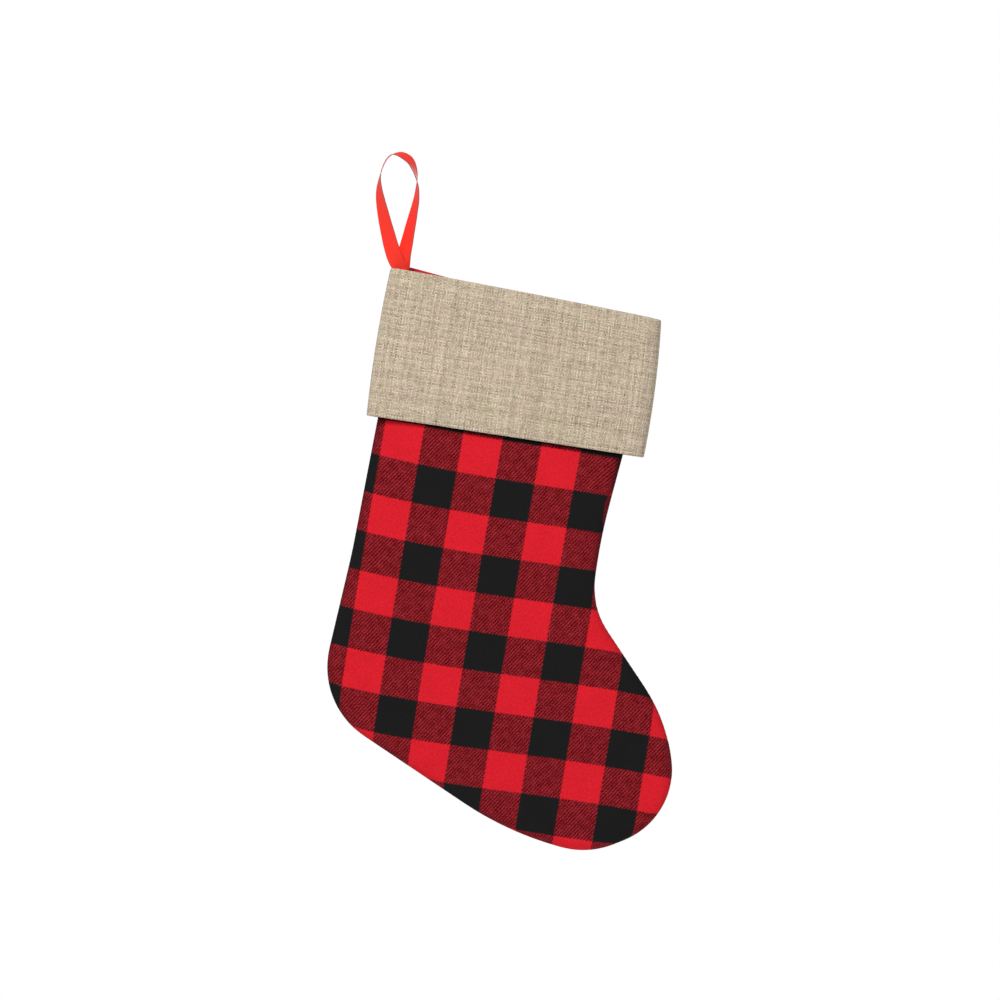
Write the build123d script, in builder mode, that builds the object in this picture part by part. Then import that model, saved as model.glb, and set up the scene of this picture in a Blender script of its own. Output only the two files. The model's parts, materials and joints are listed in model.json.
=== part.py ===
from build123d import *

# Hanging stocking: a checked flannel leg with a red lining, a folded linen cuff and a
# ribbon loop.  Units are millimetres.
#
# Row frame: the origin is where a hook touches the inside of the loop's top, +Z is up,
# +X points towards the toe and -Y towards the viewer.  The stocking hangs tilted, so its
# own outline is drawn in a leg plane whose x runs along the rim towards the toe and whose
# y runs up the leg.  Everything soft is a thin shell of its true outer shape.

import os
from math import cos, pi, radians, sin

os.makedirs("parts", exist_ok=True)

# ---- driving dimensions -----------------------------------------------------------------
hang_tilt = 9.15            # degrees the leg leans from upright, toe side down
cuff_corner = (-6.8, -91.2)  # X, Z of the cuff's top corner on the heel side

rim_lean = 0.0186           # slope of the rim at the heel side, against the leg plane
rim_radius = 8706.0         # the rim is a very flat arc
cuff_top_width = 220.8      # along the rim
# Each side edge of the cuff bows a little outwards: its bottom, middle and top, x and y.
cuff_heel_edge = [(-0.3, -119.0), (-1.95, -60.0), (0.0, 0.0)]
cuff_toe_edge = [(224.4, -117.1), (224.6, -62.0), (cuff_top_width, -6.9)]
linen = 1.6                 # the cuff is linen folded double
cuff_half_depth = 12.0
cuff_edge_radius = 9.0

flannel = 0.9               # outer cloth of the leg
lining = 0.5                # lining cloth
layer_gap = 0.4             # air between flannel and lining, and between flannel and cuff
leg_half_depth = 10.0
leg_edge_radius = 8.0
rim_lip = 0.9               # linen that folds over the flannel's top edge
rim_gap = 0.3               # air between that fold and the flannel's top edge

stitch = 0.4                # width and height of a sewn thread line
rim_thread_depth = 3.2      # the rim's stitching runs this far below the rim
bartack_height = 2.0        # the stitches that bind the ribbon's ends
bartack_width = 10.0
bartack_depth = 8.0         # and how far below the rim they sit
lining_stitch = 0.26        # width of the finer thread line in the lining

ribbon_width = 12.7
ribbon = 0.4                # ribbon thickness
loop_radius = 15.2          # inside radius of the loop's top
bight_end = 22.0            # the top piece of the loop reaches this far down
turn_gap = 0.6              # between the loop's top piece and its legs
root_along_rim = 9.2        # where the ribbon is sewn in, from the cuff's corner
fold_height = 1.6           # the ribbon's fold line stands this far above the rim
fold_gap = 0.6              # each ribbon piece stops this far from the fold line
tail_length = 12.0          # ribbon sewn inside the mouth, below the rim
tail_trim = 1.1             # taken off the ribbon's heel-side edge there, clear of the lining
leg_sections = 7            # cross-sections along each twisted ribbon leg

above = 24.0                # soft outlines run this far past the rim before they are trimmed

# Corners of the leg's outline in the leg plane, heel side of the rim first, and the radius
# that rounds each one: heel side, ankle back, heel, sole, toe bottom, toe tip, instep,
# ankle front, calf.
leg_corners = [
    (1.9, 0),
    (10.6, -70),
    (5.8, -230),
    (-3.2, -354),
    (164, -431),
    (230.5, -438.5),
    (297.5, -398.5),
    (276, -322),
    (201.5, -241.5),
    (200.6, -184.5),
    (218.9, -7.4),
]
leg_radii = [150, 400, 66, 262, 66, 61, 133, 63, 440]

# ---- frame ------------------------------------------------------------------------------
tilt = radians(hang_tilt)
along_rim = Vector(cos(tilt), 0, -sin(tilt))
up_leg = Vector(sin(tilt), 0, cos(tilt))
corner = Vector(cuff_corner[0], 0, cuff_corner[1])
leg_plane = Plane(origin=corner, x_dir=along_rim, z_dir=(0, -1, 0))

FRONT, BACK = 1, -1         # extrusion sign: the leg plane faces the viewer


def rim_height(x):
    """Height of the rim's arc in the leg plane."""
    return -rim_lean * x - x * x / (2 * rim_radius)


def leg_region(inset):
    """The leg's outline in the middle plane, open past the rim, inset by this much."""
    with BuildSketch(leg_plane) as region:
        with BuildLine():
            outline = FilletPolyline(*leg_corners, radius=leg_radii)
            heel_top = (leg_corners[0][0], above)
            toe_top = (leg_corners[-1][0], above)
            Polyline(outline @ 1, toe_top, heel_top, outline @ 0)
        make_face()
        if inset:
            offset(amount=-inset, kind=Kind.INTERSECTION)
    return region.sketch


def leg_form(inset, side):
    """Half of the leg with rounded edges, inset from the flannel's outer face."""
    with BuildPart() as form:
        extrude(leg_region(inset), amount=side * (leg_half_depth - inset))
        outer_face = form.faces().sort_by(Axis.Y)[0 if side == FRONT else -1]
        fillet(outer_face.edges(), leg_edge_radius - inset)
    return form.part


def edge_at(edge, y):
    """Where a side edge of the cuff lies at this height, by the parabola through its points."""
    total = 0
    for k, (x, own) in enumerate(edge):
        others = [p[1] for p in edge[:k] + edge[k + 1:]]
        total += x * (y - others[0]) * (y - others[1]) / ((own - others[0]) * (own - others[1]))
    return total


def edge_points(edge, inward, low, high):
    """Three points of a side edge, moved inwards, from one height up to another."""
    return [(edge_at(edge, y) + inward, y) for y in (low, (low + high) / 2, high)]


def cuff_form(inset, side):
    """Half of the cuff's sleeve, inset from the linen's outer face, open past the rim."""
    with BuildPart() as form:
        with BuildSketch(leg_plane):
            with BuildLine():
                heel = edge_points(cuff_heel_edge, inset, cuff_heel_edge[0][1] - inset, above)
                toe = edge_points(cuff_toe_edge, -inset, cuff_toe_edge[0][1] - inset, above)
                ThreePointArc(*heel)
                ThreePointArc(*toe)
                Line(heel[0], toe[0])
                Line(heel[-1], toe[-1])
            make_face()
        extrude(amount=side * (cuff_half_depth - inset))
        outer_face = form.faces().sort_by(Axis.Y)[0 if side == FRONT else -1]
        down_leg = [e for e in outer_face.edges() if abs(e.tangent_at(0.5).dot(up_leg)) > 0.9]
        fillet(down_leg, cuff_edge_radius - inset)
    return form.part


def space_above_rim(drop):
    """Everything above a line that runs this far below the rim."""
    ends = (-20, cuff_top_width + 20)
    middle = sum(ends) / 2
    with BuildPart() as space:
        with BuildSketch(leg_plane):
            with BuildLine():
                arc = ThreePointArc(
                    (ends[0], rim_height(ends[0]) - drop),
                    (middle, rim_height(middle) - drop),
                    (ends[1], rim_height(ends[1]) - drop),
                )
                Polyline(arc @ 1, (ends[1], 2 * above), (ends[0], 2 * above), arc @ 0)
            make_face()
        extrude(amount=2 * cuff_half_depth, both=True)
    return space.part


def seam_line(inset, width):
    """A line of thread round the leg's edge, centred this far inside the outline."""
    with BuildPart() as thread:
        extrude(leg_region(inset - width / 2), amount=stitch / 2, both=True)
        extrude(leg_region(inset + width / 2), amount=stitch, both=True, mode=Mode.SUBTRACT)
    return thread.part


flannel_drop = rim_lip + rim_gap
lining_inset = flannel + layer_gap
above_rim = space_above_rim(0)
above_flannel = space_above_rim(flannel_drop)
above_lip = space_above_rim(rim_lip)

# ---- leg: two flannel panels sewn edge to edge ------------------------------------------
shell_thread_form = seam_line(flannel / 2, stitch)

with BuildPart() as shell_front_panel:
    add(leg_form(0, FRONT))
    add(leg_form(flannel, FRONT), mode=Mode.SUBTRACT)
    add(above_flannel, mode=Mode.SUBTRACT)
    add(shell_thread_form, mode=Mode.SUBTRACT)

with BuildPart() as shell_back_panel:
    add(leg_form(0, BACK))
    add(leg_form(flannel, BACK), mode=Mode.SUBTRACT)
    add(above_flannel, mode=Mode.SUBTRACT)
    add(shell_thread_form, mode=Mode.SUBTRACT)

with BuildPart() as shell_seam_thread:
    add(shell_thread_form)
    add(above_flannel, mode=Mode.SUBTRACT)

# ---- lining: two red panels that hang inside the leg ------------------------------------
lining_thread_form = seam_line(lining_inset + lining / 2, lining_stitch)

with BuildPart() as lining_front_panel:
    add(leg_form(lining_inset, FRONT))
    add(leg_form(lining_inset + lining, FRONT), mode=Mode.SUBTRACT)
    add(above_rim, mode=Mode.SUBTRACT)
    add(lining_thread_form, mode=Mode.SUBTRACT)

with BuildPart() as lining_back_panel:
    add(leg_form(lining_inset, BACK))
    add(leg_form(lining_inset + lining, BACK), mode=Mode.SUBTRACT)
    add(above_rim, mode=Mode.SUBTRACT)
    add(lining_thread_form, mode=Mode.SUBTRACT)

with BuildPart() as lining_seam_thread:
    add(lining_thread_form)
    add(above_rim, mode=Mode.SUBTRACT)

# ---- cuff: linen folded double, turned over the rim and hanging outside the leg ----------
# Each side seam is a thread line down the middle of the folded linen's thickness.
with BuildPart() as cuff_seams:
    for edge, inward in ((cuff_heel_edge, linen / 2), (cuff_toe_edge, -linen / 2)):
        with BuildSketch(leg_plane):
            with BuildLine():
                outer = edge_points(edge, inward - stitch / 2, edge[0][1], above)
                inner = edge_points(edge, inward + stitch / 2, edge[0][1], above)
                ThreePointArc(*outer)
                ThreePointArc(*inner)
                Line(outer[0], inner[0])
                Line(outer[-1], inner[-1])
            make_face()
        extrude(amount=stitch / 2, both=True)
    add(above_flannel, mode=Mode.SUBTRACT)

with BuildPart() as inside_the_mouth:
    add(leg_form(lining_inset, FRONT))
    add(leg_form(lining_inset, BACK))

with BuildPart() as cuff_front_panel:
    add(cuff_form(0, FRONT))
    add(cuff_form(linen, FRONT) - above_lip, mode=Mode.SUBTRACT)
    add(inside_the_mouth.part, mode=Mode.SUBTRACT)
    add(above_rim, mode=Mode.SUBTRACT)
    add(cuff_seams.part, mode=Mode.SUBTRACT)

with BuildPart() as cuff_back_panel:
    add(cuff_form(0, BACK))
    add(cuff_form(linen, BACK) - above_lip, mode=Mode.SUBTRACT)
    add(inside_the_mouth.part, mode=Mode.SUBTRACT)
    add(above_rim, mode=Mode.SUBTRACT)
    add(cuff_seams.part, mode=Mode.SUBTRACT)

with BuildPart() as cuff_heel_seam_thread:
    add(cuff_seams.part.solids().sort_by(Axis.X)[0])

with BuildPart() as cuff_toe_seam_thread:
    add(cuff_seams.part.solids().sort_by(Axis.X)[-1])

# Stitching round the mouth that joins flannel and lining just below the rim.
with BuildPart() as rim_seam_thread:
    add(leg_form(flannel, FRONT))
    add(leg_form(flannel, BACK))
    add(inside_the_mouth.part, mode=Mode.SUBTRACT)
    add(space_above_rim(rim_thread_depth), mode=Mode.SUBTRACT)
    add(space_above_rim(rim_thread_depth + stitch), mode=Mode.INTERSECT)

# ---- ribbon loop ------------------------------------------------------------------------
fold_point = corner + along_rim * root_along_rim + up_leg * fold_height
leg_top = -bight_end - turn_gap

# The top of the loop, which stays on the hook.
with BuildPart() as loop_bight:
    with BuildSketch(Plane.XZ):
        with Locations((0, -loop_radius)):
            Circle(loop_radius + ribbon)
            Circle(loop_radius, mode=Mode.SUBTRACT)
            Rectangle(
                4 * loop_radius, 2 * loop_radius,
                align=(Align.CENTER, Align.MAX), mode=Mode.SUBTRACT,
            )
        for side in (-1, 1):
            with Locations((side * (loop_radius + ribbon / 2), -loop_radius)):
                Rectangle(ribbon, bight_end - loop_radius, align=(Align.CENTER, Align.MAX))
    extrude(amount=ribbon_width / 2, both=True)


def leg_station(side, s):
    """Centre, width direction and forward direction of a ribbon leg, s from 0 (top) to 1."""
    foot = fold_point + up_leg * fold_gap
    start_x = side * (loop_radius + ribbon / 2)
    z = leg_top + (foot.Z - leg_top) * s
    power = 2.0 if side < 0 else 1.4
    x = start_x + (foot.X - start_x) * s ** power
    slope = (foot.X - start_x) * power * max(s, 0.01) ** (power - 1) / (foot.Z - leg_top)
    level = up_leg if s == 1 else Vector(slope, 0, 1).normalized()
    across = Vector(level.Z, 0, -level.X)
    # The ribbon is edge-on at the top and has turned its face to the viewer low down.
    turn = min(1.0, s / 0.7) * pi / 2
    width = across * sin(turn) + Vector(0, side, 0) * cos(turn)
    # Low down one leg lies just in front of the other.
    y = side * (ribbon / 2 + 0.02) * min(1.0, s / 0.7)
    return Vector(x, y, z), width, level


def ribbon_leg(side):
    """A twisted strip from one side of the loop's top to the fold line."""
    with BuildPart() as strip:
        for k in range(leg_sections):
            centre, width, level = leg_station(side, k / (leg_sections - 1))
            with BuildSketch(Plane(origin=centre, x_dir=width, z_dir=level)):
                Rectangle(ribbon_width, ribbon)
        loft(ruled=True)
    return strip.part


with BuildPart() as loop_leg_heel_side:
    add(ribbon_leg(-1))

with BuildPart() as loop_leg_toe_side:
    add(ribbon_leg(1))

# Both ribbon ends run down together into the mouth and are sewn to the lining there.
tail_top = fold_height - fold_gap
tail_lean = (leg_corners[1][0] - leg_corners[0][0]) / -leg_corners[1][1]
with BuildPart() as loop_tails:
    with BuildSketch(leg_plane):
        with BuildLine():
            left = root_along_rim - ribbon_width / 2 + tail_trim
            right = root_along_rim + ribbon_width / 2
            drift = tail_lean * tail_length
            Polyline(
                (left, tail_top),
                (right, tail_top),
                (right + drift, -tail_length),
                (left + drift, -tail_length),
                close=True,
            )
        make_face()
    extrude(amount=ribbon, both=True)

# A short block of dense stitches binds the two ribbon ends together.
with BuildPart() as loop_bartack:
    with BuildSketch(leg_plane):
        with Locations((root_along_rim + tail_lean * bartack_depth, -bartack_depth)):
            RectangleRounded(bartack_width, bartack_height, 0.6)
    extrude(amount=ribbon + stitch, both=True)
    add(loop_tails.part, mode=Mode.SUBTRACT)

# ---- write the pieces -------------------------------------------------------------------
pieces = {
    "shell_front_panel": shell_front_panel,
    "shell_back_panel": shell_back_panel,
    "shell_seam_thread": shell_seam_thread,
    "lining_front_panel": lining_front_panel,
    "lining_back_panel": lining_back_panel,
    "lining_seam_thread": lining_seam_thread,
    "cuff_front_panel": cuff_front_panel,
    "cuff_back_panel": cuff_back_panel,
    "cuff_heel_seam_thread": cuff_heel_seam_thread,
    "cuff_toe_seam_thread": cuff_toe_seam_thread,
    "rim_seam_thread": rim_seam_thread,
    "loop_bight": loop_bight,
    "loop_leg_heel_side": loop_leg_heel_side,
    "loop_leg_toe_side": loop_leg_toe_side,
    "loop_tails": loop_tails,
    "loop_bartack": loop_bartack,
}
for name, piece in pieces.items():
    piece.part.label = name
    export_step(piece.part, f"parts/{name}.step")

print("fold point", fold_point, "along the rim", along_rim)
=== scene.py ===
import json
import math

import bmesh
import bpy
import numpy as np
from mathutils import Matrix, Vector, geometry, noise


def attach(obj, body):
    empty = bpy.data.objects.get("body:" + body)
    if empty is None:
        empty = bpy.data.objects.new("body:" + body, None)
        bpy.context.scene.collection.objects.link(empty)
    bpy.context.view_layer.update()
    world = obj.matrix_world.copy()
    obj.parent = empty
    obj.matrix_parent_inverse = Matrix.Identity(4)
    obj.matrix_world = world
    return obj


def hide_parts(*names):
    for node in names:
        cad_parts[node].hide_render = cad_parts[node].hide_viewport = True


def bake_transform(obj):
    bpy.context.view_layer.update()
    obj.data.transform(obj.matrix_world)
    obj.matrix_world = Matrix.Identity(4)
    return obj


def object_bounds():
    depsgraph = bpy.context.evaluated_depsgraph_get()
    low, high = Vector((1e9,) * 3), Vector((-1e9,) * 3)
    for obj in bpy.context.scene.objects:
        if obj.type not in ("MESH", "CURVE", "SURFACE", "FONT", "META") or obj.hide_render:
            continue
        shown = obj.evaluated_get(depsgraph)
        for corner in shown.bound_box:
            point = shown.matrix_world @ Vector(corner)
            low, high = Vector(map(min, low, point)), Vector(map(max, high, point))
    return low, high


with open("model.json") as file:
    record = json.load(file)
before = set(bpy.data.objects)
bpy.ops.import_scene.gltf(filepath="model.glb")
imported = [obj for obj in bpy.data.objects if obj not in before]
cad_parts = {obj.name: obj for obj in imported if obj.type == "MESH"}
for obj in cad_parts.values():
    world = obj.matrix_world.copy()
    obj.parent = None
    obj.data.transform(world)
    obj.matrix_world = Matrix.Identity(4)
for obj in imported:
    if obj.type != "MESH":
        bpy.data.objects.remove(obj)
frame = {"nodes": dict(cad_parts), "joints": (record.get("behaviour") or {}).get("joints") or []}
cad_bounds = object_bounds()

MM = 0.001
FRONT, BACK = -1, 1                    # the viewer is on the -Y side

# ---- cloth sizes, in metres --------------------------------------------------------------
flannel_thickness = 0.9 * MM
lining_thickness = 0.45 * MM
linen_thickness = 0.5 * MM
ribbon_width = 12.7 * MM
ribbon_thickness = 0.4 * MM

flannel_spacing = 4.5 * MM             # between a panel's vertices, before subdivision
lining_spacing = 6.0 * MM
edge_rings = (0.8, 1.6, 2.6, 3.8, 5.4)  # rows of vertices that follow a sewn edge, mm inside it
flannel_drop = 1.2 * MM                # cut edge of the cloth below the rim
lining_drop = 0.4 * MM
lining_inset = 2.0 * MM                # the lining lies this far inside the flannel
lining_seam_back = 0.5 * MM            # its seam lies this far behind the flannel's
flat_at_seam = 0.03 * MM               # half the gap between two panels where they're sewn

check_across, check_down = 31.25 * MM, 30.86 * MM
warp_per_check, weft_per_check = 48, 32
plaid_corner = (141.8 * MM, -245.8 * MM)  # a corner of the checks, in the leg plane
plaid_skew = 0.0084                    # the checks lean a little against the rim

# ---- the leg plane, from the joint that the stocking swings on ----------------------------
swing = next(j for j in frame["joints"] if j["name"] == "loop_swing")
along_rim = np.array(swing["axis"], float)
up_leg = np.array([-along_rim[2], 0.0, along_rim[0]])
fold_point = np.array(swing["pos_m"], float)
root_along_rim, fold_height = 9.2 * MM, 1.6 * MM   # the fold, from the rim's heel corner
corner = fold_point - along_rim * root_along_rim - up_leg * fold_height
toward_back = np.array([0.0, 1.0, 0.0])


def to_row(points):
    """Points (x along the rim, y up the leg, depth towards the back) in the row frame."""
    p = np.asarray(points, float)
    return corner + p[:, :1] * along_rim + p[:, 1:2] * up_leg + p[:, 2:3] * toward_back


def to_leg(points):
    """Row-frame points in leg coordinates."""
    p = np.asarray(points, float) - corner
    return np.stack([p @ along_rim, p @ up_leg, p @ toward_back], axis=1)


# ---- mesh helpers ------------------------------------------------------------------------
def new_object(name, vertices, faces, uvs=None, material=None):
    """A mesh object; uvs holds one pair for each vertex."""
    mesh = bpy.data.meshes.new(name)
    mesh.from_pydata([tuple(v) for v in vertices], [], [tuple(f) for f in faces])
    mesh.update()
    if uvs is not None:
        layer = mesh.uv_layers.new(name="cloth")
        flat = np.asarray(uvs, np.float32)
        index = np.zeros(len(mesh.loops), np.int32)
        mesh.loops.foreach_get("vertex_index", index)
        layer.data.foreach_set("uv", flat[index].ravel())
    for polygon in mesh.polygons:
        polygon.use_smooth = True
    obj = bpy.data.objects.new(name, mesh)
    bpy.context.scene.collection.objects.link(obj)
    if material is not None:
        mesh.materials.append(material)
    return obj


def apply_modifiers(obj):
    """Bakes an object's modifiers into its mesh."""
    bpy.context.view_layer.update()
    evaluated = obj.evaluated_get(bpy.context.evaluated_depsgraph_get())
    mesh = bpy.data.meshes.new_from_object(evaluated)
    old = obj.data
    obj.modifiers.clear()
    obj.data = mesh
    mesh.name = obj.name
    bpy.data.meshes.remove(old)


def smooth_sheet(obj):
    """Subdivides a sheet once; its corners stay sharp."""
    smooth = obj.modifiers.new("smooth", "SUBSURF")
    smooth.levels = smooth.render_levels = 1
    smooth.boundary_smooth = "PRESERVE_CORNERS"
    apply_modifiers(obj)


def thicken(obj, thickness):
    """Gives a one-sided sheet its thickness, inwards from the face it has."""
    solid = obj.modifiers.new("thickness", "SOLIDIFY")
    solid.thickness = thickness
    solid.offset = -1.0
    solid.use_even_offset = True
    solid.use_quality_normals = True
    apply_modifiers(obj)
    for polygon in obj.data.polygons:
        polygon.use_smooth = True


def unit(vectors):
    """Rows of vectors, each made one long."""
    return vectors / np.linalg.norm(vectors, axis=1)[:, None]


def length_along(points):
    """How far along a line each of its points lies."""
    steps = np.linalg.norm(np.diff(points, axis=0), axis=1)
    return np.concatenate([[0], np.cumsum(steps)])


def resample(points, spacing):
    """A line's points again, evenly spaced."""
    p = np.asarray(points, float)
    run = length_along(p)
    count = max(2, int(round(run[-1] / spacing)) + 1)
    wanted = np.linspace(0, run[-1], count)
    return np.stack([np.interp(wanted, run, p[:, k]) for k in range(p.shape[1])], axis=1)


def smooth_line(points, count):
    """A smooth line through all the points, by Catmull-Rom spans."""
    p = np.asarray(points, float)
    p = np.vstack([2 * p[0] - p[1], p, 2 * p[-1] - p[-2]])
    out = []
    for u in np.linspace(0, len(p) - 3 - 1e-9, count):
        k = int(u)
        t = u - k
        a, b, c, d = p[k], p[k + 1], p[k + 2], p[k + 3]
        out.append(0.5 * (2 * b + (c - a) * t + (2 * a - 5 * b + 4 * c - d) * t * t
                          + (3 * b - a - 3 * c + d) * t ** 3))
    return np.array(out)


def tube_faces(rings, sides, first=0):
    """Faces of a tube whose points come ring by ring; the last two close its ends."""
    faces = []
    for r in range(rings - 1):
        for c in range(sides):
            a, b = first + r * sides + c, first + r * sides + (c + 1) % sides
            faces.append((a, b, b + sides, a + sides))
    faces.append([first + c for c in range(sides)][::-1])
    faces.append([first + (rings - 1) * sides + c for c in range(sides)])
    return faces


# ---- the leg's outline, read from the CAD panel --------------------------------------------
def cad_outline(node, depth):
    """The outer line of a panel at this depth, from the rim's heel side round to its toe side."""
    bm = bmesh.new()
    bm.from_mesh(frame["nodes"][node].data)
    bmesh.ops.remove_doubles(bm, verts=bm.verts, dist=1e-6)
    cut = bmesh.ops.bisect_plane(
        bm, geom=bm.verts[:] + bm.edges[:] + bm.faces[:], plane_co=(0, depth, 0), plane_no=(0, 1, 0)
    )
    edges = [e for e in cut["geom_cut"] if isinstance(e, bmesh.types.BMEdge)]
    near = {}
    for e in edges:
        a, b = e.verts
        near.setdefault(a.index, []).append(b.index)
        near.setdefault(b.index, []).append(a.index)
    bm.verts.ensure_lookup_table()
    at = {k: to_leg([bm.verts[k].co])[0] for k in near}
    bm.free()
    # The rim slopes, so its toe-side corner lies lower than its heel-side one.
    top = max(p[1] for p in at.values())
    heel = min((k for k in at if at[k][1] > top - 3 * MM), key=lambda k: at[k][0])
    toe = max((k for k in at if at[k][1] > top - 14 * MM), key=lambda k: at[k][0])
    line = [heel, min(near[heel], key=lambda k: at[k][1])]
    while line[-1] != toe:
        line.append(next(k for k in near[line[-1]] if k != line[-2]))
    return np.array([at[k][:2] for k in line])


leg_line = resample(cad_outline("shell_front_panel", -1.0 * MM), 2.0 * MM)


def outward_of(line):
    """Unit directions out of the leg at each point; the line runs anticlockwise round it."""
    tangent = unit(np.gradient(line, axis=0))
    return np.stack([tangent[:, 1], -tangent[:, 0]], axis=1)


def offset_line(line, amount):
    """The line moved outwards by this much."""
    return line + outward_of(line) * amount


def nearest_on_line(points, line):
    """Distance to a line, the way out of the leg there, and how far along it that lies."""
    a, b = line[:-1], line[1:]
    d = b - a
    length2 = np.maximum((d * d).sum(1), 1e-18)
    run = np.concatenate([[0], np.cumsum(np.sqrt(length2))])
    way_out = outward_of(line)
    dist = np.empty(len(points))
    away = np.empty((len(points), 2))
    along = np.empty(len(points))
    chunk = 1000                           # keeps the arrays small
    for start in range(0, len(points), chunk):
        part = slice(start, start + chunk)
        p = points[part]
        t = np.clip(((p[:, None] - a) * d).sum(2) / length2, 0, 1)
        foot = a + t[..., None] * d
        r = np.linalg.norm(p[:, None] - foot, axis=2)
        k = r.argmin(1)
        rows = np.arange(len(p))
        dist[part] = r[rows, k]
        share = t[rows, k][:, None]
        away[part] = way_out[k] * (1 - share) + way_out[k + 1] * share
        along[part] = run[k] + t[rows, k] * np.sqrt(length2[k])
    return dist, unit(away), along


# ---- cloth panels, cut flat and then bent round the leg's edge ------------------------------
# A panel's edge in section, from the seam outwards: inset from the leg's outline, and
# distance from the middle plane.  The seam sits in a shallow groove.
edge_section = smooth_line(np.array([
    (1.5, 0.03), (0.8, 0.35), (0.2, 1.0), (0.0, 1.9), (0.2, 2.95), (0.75, 4.15),
    (1.7, 5.35), (3.1, 6.5), (5.2, 7.6), (8.0, 8.5), (12.0, 9.2), (18.0, 9.7),
    (28.0, 10.1), (45.0, 10.4), (80.0, 10.6),
]) * MM, 120)
section_run = length_along(edge_section)
cloth_beyond = section_run[-1] - edge_section[-1, 0]   # cloth that the rounded edge takes up


def soft(x):
    """A smooth step from 0 to 1."""
    x = np.clip(x, 0, 1)
    return x * x * (3 - 2 * x)


def bumps(points, size, seed):
    """Smooth random heights, about -1 to 1, at this feature size."""
    return np.array([
        noise.noise(Vector((x / size + seed, y / size - seed, 0.37 * seed))) for x, y in points
    ])


def triangle_grid(low, high, spacing):
    """Points in even triangles over a box."""
    row_step = spacing * math.sqrt(3) / 2
    grid = []
    for j in range(int((high[1] - low[1]) / row_step) + 2):
        y = low[1] + j * row_step
        for i in range(int((high[0] - low[0]) / spacing) + 2):
            grid.append((low[0] + (i + 0.5 * (j % 2)) * spacing, y))
    return np.array(grid)


def triangulate(border, inner):
    """Vertices and triangles that fill a border, through the inner points."""
    count = len(border)
    loop = [(k, (k + 1) % count) for k in range(count)]
    found = geometry.delaunay_2d_cdt([Vector(p) for p in border + inner], loop, [], 1, 1e-7)
    return np.array([(v.x, v.y) for v in found[0]]), [list(f) for f in found[2]]


def flat_panel(spacing, rim_drop):
    """A panel cut flat: vertices, triangles and its sewn edge, outside the leg's outline."""
    edge = resample(offset_line(leg_line, cloth_beyond), spacing)
    rings = [resample(offset_line(leg_line, cloth_beyond - inset * MM), spacing) for inset in edge_rings]
    # The cut top edge follows the rim between the two ends of the sewn one.
    rim_left, rim_right = edge[0], edge[-1]
    rim_count = int((rim_right[0] - rim_left[0]) / spacing)
    rim = []
    for k in range(1, rim_count):
        x = rim_left[0] + (rim_right[0] - rim_left[0]) * k / rim_count
        rim.append((x, rim_height(x) - rim_drop))
    edge[0, 1] = rim_height(edge[0, 0]) - rim_drop
    edge[-1, 1] = rim_height(edge[-1, 0]) - rim_drop
    border = list(map(tuple, edge)) + rim[::-1]
    inner = []
    for ring in rings:
        inner += [tuple(p) for p in ring if p[1] < rim_height(p[0]) - rim_drop - 0.4 * spacing]
    grid = triangle_grid(edge.min(0), edge.max(0), spacing)
    dist, _, _ = nearest_on_line(grid, edge)
    clear_of_rim = grid[:, 1] < rim_height(grid[:, 0]) - rim_drop - 0.5 * spacing
    inside = points_inside(grid, np.array(border))
    clear_of_rings = dist > edge_rings[-1] * MM + 0.55 * spacing
    inner += [tuple(p) for p in grid[clear_of_rings & clear_of_rim & inside]]
    return *triangulate(border, inner), edge


def points_inside(points, polygon):
    """Which points lie inside a polygon."""
    x, y = points[:, 0], points[:, 1]
    inside = np.zeros(len(points), bool)
    for a, b in zip(polygon, np.roll(polygon, -1, axis=0)):
        crosses = (a[1] > y) != (b[1] > y)
        at = a[0] + (y - a[1]) * (b[0] - a[0]) / (b[1] - a[1] + 1e-18)
        inside ^= crosses & (x < at)
    return inside


rim_lean, rim_radius = 0.0186, 8.706   # slope at the heel corner; radius in metres


def rim_height(x):
    """Height of the rim's flat arc in the leg plane."""
    return -rim_lean * x - x * x / (2 * rim_radius)


def shape_panel(flat, edge, side, inset, ripple):
    """Bends a flat panel into its half of the leg; returns row-frame points."""
    seed = 3.0 + side                      # the front and the back aren't uneven alike
    # The lining's seam lies a little behind the flannel's, so neither shows through the other.
    seam_shift = lining_seam_back if inset else 0.0
    dist, away, along = nearest_on_line(flat, edge)
    capped = np.minimum(dist, section_run[-1])
    in_plane = np.interp(capped, section_run, edge_section[:, 0])
    depth = np.interp(capped, section_run, edge_section[:, 1])
    push = cloth_beyond - capped + in_plane + inset    # from cloth place to hanging place
    spot = flat - away * push[:, None]
    # Gathers run in from the sewn edge, and the broad faces are a little uneven.
    edge_share = np.exp(-dist / (16 * MM)) * soft((dist - 1.0 * MM) / (6 * MM))
    gathers = np.array([noise.noise(Vector((a / (11 * MM), seed, 0))) for a in along])
    broad = bumps(spot, 62 * MM, seed) * soft(dist / (40 * MM))
    fine = bumps(spot, 23 * MM, 7 + seed) * soft(dist / (30 * MM))
    depth = depth - inset * soft(depth / (3 * MM))
    calm = 1 - 0.8 * soft((flat[:, 1] + 130 * MM) / (20 * MM))    # flatter under the cuff
    depth += ripple * calm * MM * (0.55 * gathers * edge_share + 0.75 * broad + 0.22 * fine)
    depth = side * np.maximum(depth, flat_at_seam) + seam_shift * np.exp(-dist / (2 * MM))
    return to_row(np.column_stack([spot, depth]))


def plaid_bow(x, y):
    """How far the checks bow along the panel and up it."""
    s, t = x / (200 * MM) - 0.5, y / (400 * MM) + 0.6      # across the leg and up it
    along = -0.9 * t - 5.2 * s * t - 5.7 * t ** 2 + 4.5 * s ** 2 * t
    up = 0.4 + s - 11.0 * s ** 2 + 7.8 * s * t + 13.9 * s ** 3
    return along * MM, up * MM


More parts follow.
